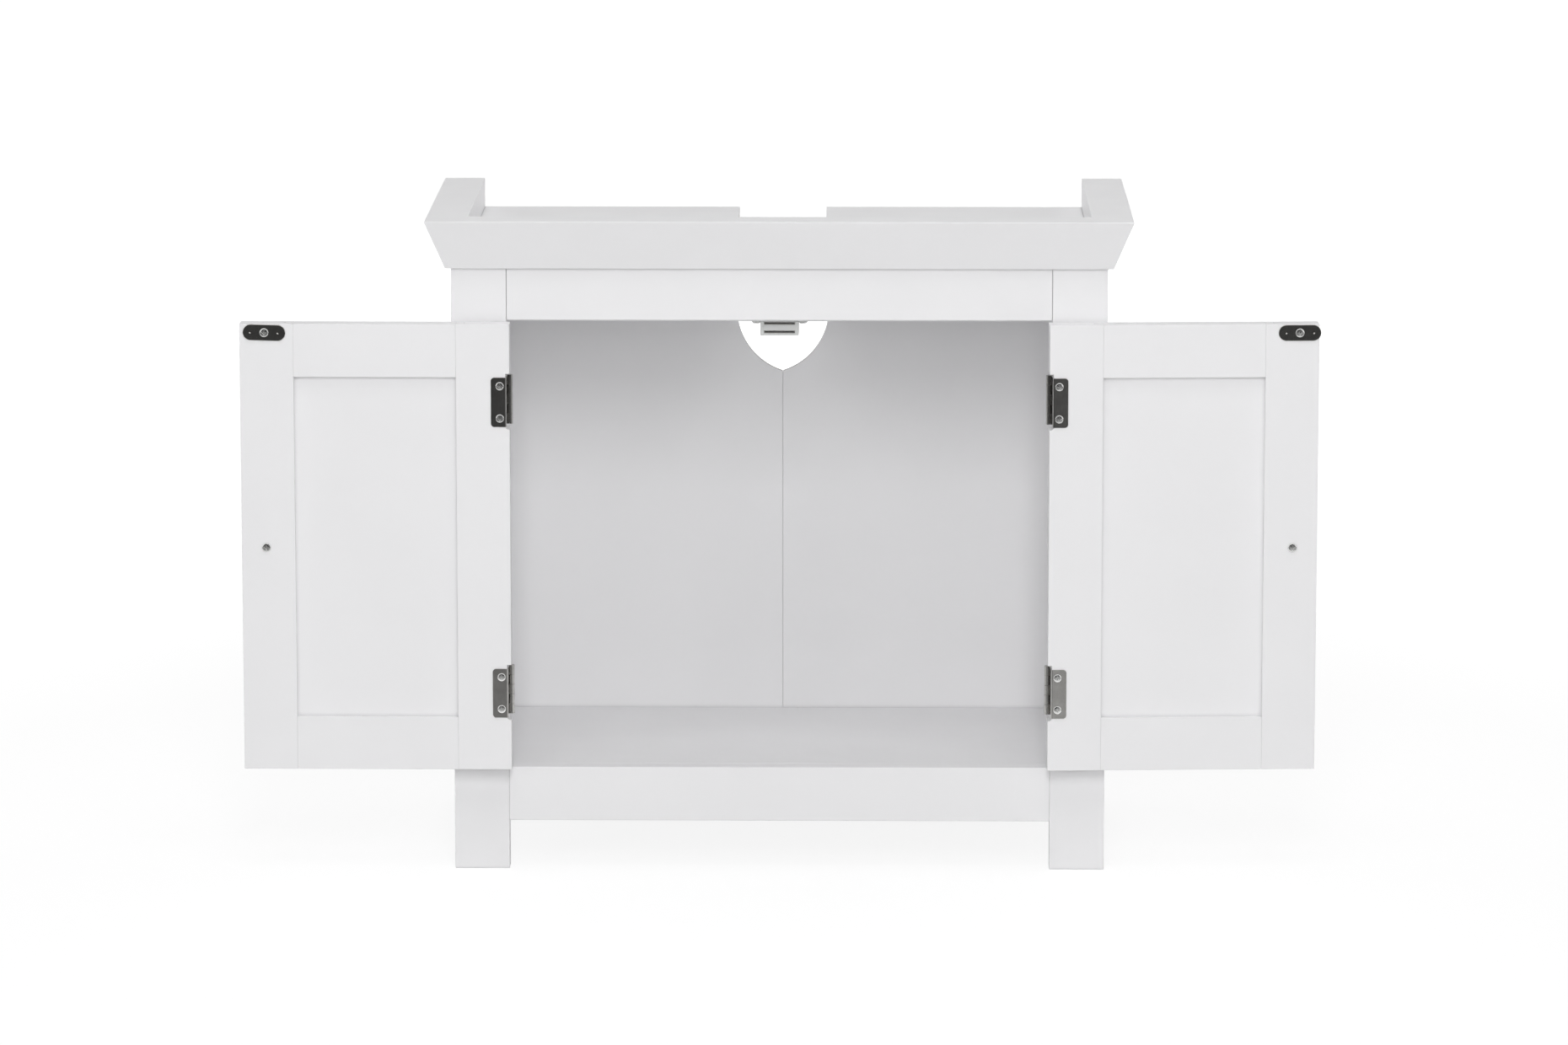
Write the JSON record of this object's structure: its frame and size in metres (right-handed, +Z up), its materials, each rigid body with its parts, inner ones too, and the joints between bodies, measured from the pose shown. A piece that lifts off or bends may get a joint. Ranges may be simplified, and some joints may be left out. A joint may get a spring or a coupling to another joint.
{
  "type": "sink base cabinet",
  "caption": "Free-standing white sink base cabinet with a flared U-shaped crown, pipe cut-outs and two framed doors that swing fully open.",
  "frame": {"origin": "on the floor, under the middle of the footprint with the doors open", "axes": "+Z up, the front faces -Y, +X to the right of someone who looks at the front"},
  "size_m": [0.9764, 0.332, 0.6],
  "materials": {
    "white_board": "satin white lacquer on fibreboard",
    "white_back_board": "white painted hardboard",
    "hinge_steel": "polished nickel-plated steel",
    "screw_steel": "bright zinc-plated steel",
    "knob_nickel": "brushed nickel",
    "catch_plastic": "light grey-white plastic",
    "magnet": "ferrite magnet",
    "dowel_beech": "fluted beech dowel"
  },
  "bodies": {
    "carcass": {"front_stile_left": "white_board", "front_stile_right": "white_board", "rear_leg_left": "white_board", "rear_leg_right": "white_board", "side_panel_left": "white_board", "side_panel_right": "white_board", "front_top_rail": "white_board", "front_bottom_rail": "white_board", "rear_bottom_rail": "white_board", "floor_panel": "white_board", "tray_panel": "white_board", "back_board_left": "white_back_board", "back_board_right": "white_back_board", "back_seam_batten": "white_board", "catch_stretcher": "white_board", "crown_front": "white_board", "crown_left": "white_board", "crown_right": "white_board", "catch_housing": "catch_plastic", "catch_pole_plates": "hinge_steel", "catch_magnet": "magnet", "catch_screws": "screw_steel", "frame_leaf_left_upper": "hinge_steel", "frame_leaf_left_lower": "hinge_steel", "frame_leaf_right_upper": "hinge_steel", "frame_leaf_right_lower": "hinge_steel", "hinge_pins": "hinge_steel", "frame_leaf_screws": "screw_steel", "rail_dowels": "dowel_beech", "panel_dowels": "dowel_beech", "crown_dowels": "dowel_beech", "cam_discs": "screw_steel", "cam_bolts": "screw_steel"},
    "door_left": {"door_left_hinge_stile": "white_board", "door_left_free_stile": "white_board", "door_left_top_rail": "white_board", "door_left_bottom_rail": "white_board", "door_left_panel": "white_board", "door_left_knob": "knob_nickel", "door_left_knob_screw": "screw_steel", "door_left_strike_plate": "hinge_steel", "door_left_strike_screw": "screw_steel", "door_left_leaf_upper": "hinge_steel", "door_left_leaf_lower": "hinge_steel", "door_left_leaf_screws": "screw_steel"},
    "door_right": {"door_right_hinge_stile": "white_board", "door_right_free_stile": "white_board", "door_right_top_rail": "white_board", "door_right_bottom_rail": "white_board", "door_right_panel": "white_board", "door_right_knob": "knob_nickel", "door_right_knob_screw": "screw_steel", "door_right_strike_plate": "hinge_steel", "door_right_strike_screw": "screw_steel", "door_right_leaf_upper": "hinge_steel", "door_right_leaf_lower": "hinge_steel", "door_right_leaf_screws": "screw_steel"}
  },
  "joints": [
    {"name": "door_left_hinge", "type": "hinge", "parent": "carcass", "child": "door_left", "pos_m": [-0.24425, -0.14401, 0.302], "axis": [0, 0, -1], "range_deg": [-180.5, 4.5]},
    {"name": "door_right_hinge", "type": "hinge", "parent": "carcass", "child": "door_right", "pos_m": [0.24425, -0.14401, 0.302], "axis": [0, 0, 1], "range_deg": [-182.8, 2.2]}
  ]
}
